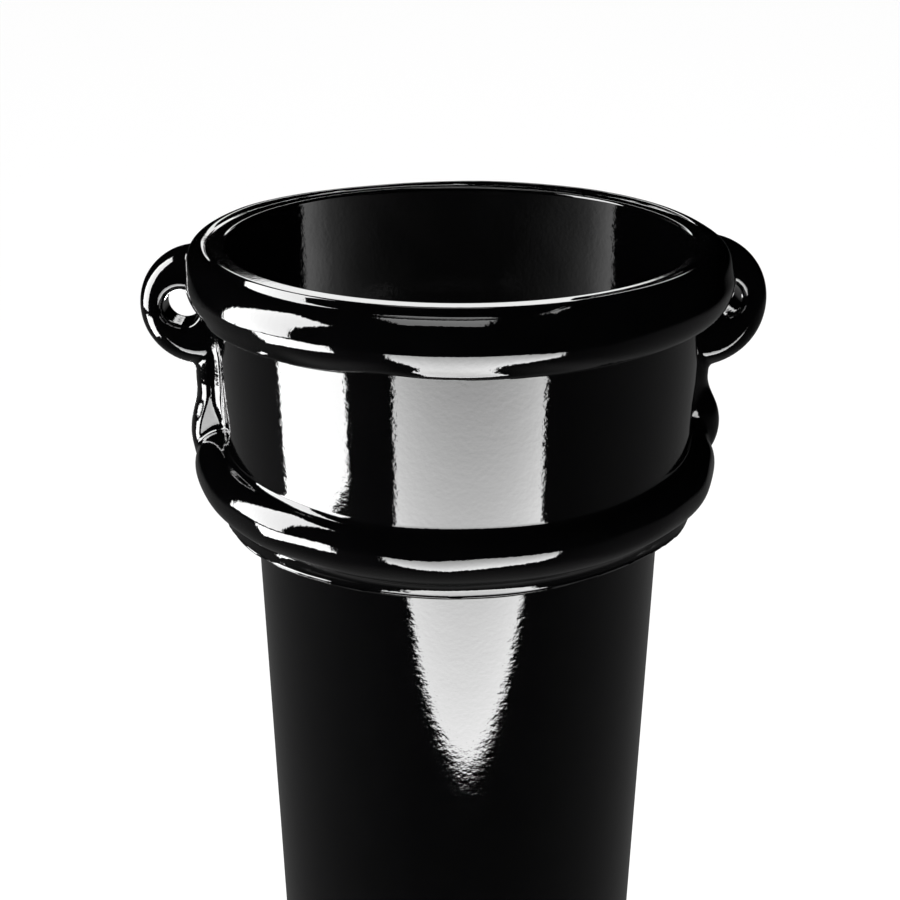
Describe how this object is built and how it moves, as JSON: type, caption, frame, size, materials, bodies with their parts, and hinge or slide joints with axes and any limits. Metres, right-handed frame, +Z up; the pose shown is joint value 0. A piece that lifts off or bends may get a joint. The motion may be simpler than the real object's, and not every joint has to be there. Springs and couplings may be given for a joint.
{
  "type": "cast iron downpipe",
  "caption": "Round cast iron rainwater downpipe with a beaded socket and two drilled fixing ears, standing on its spigot end.",
  "frame": {"origin": "middle of the spigot end's face, on the barrel's axis", "axes": "+Z up the barrel to the socket; the ears reach out along X; the wall that carries the pipe is on the +Y side"},
  "size_m": [0.164, 0.1362, 0.672],
  "materials": {
    "painted_iron": "gloss black paint on cast iron"
  },
  "bodies": {
    "root": {"downpipe": "painted_iron"}
  },
  "joints": []
}
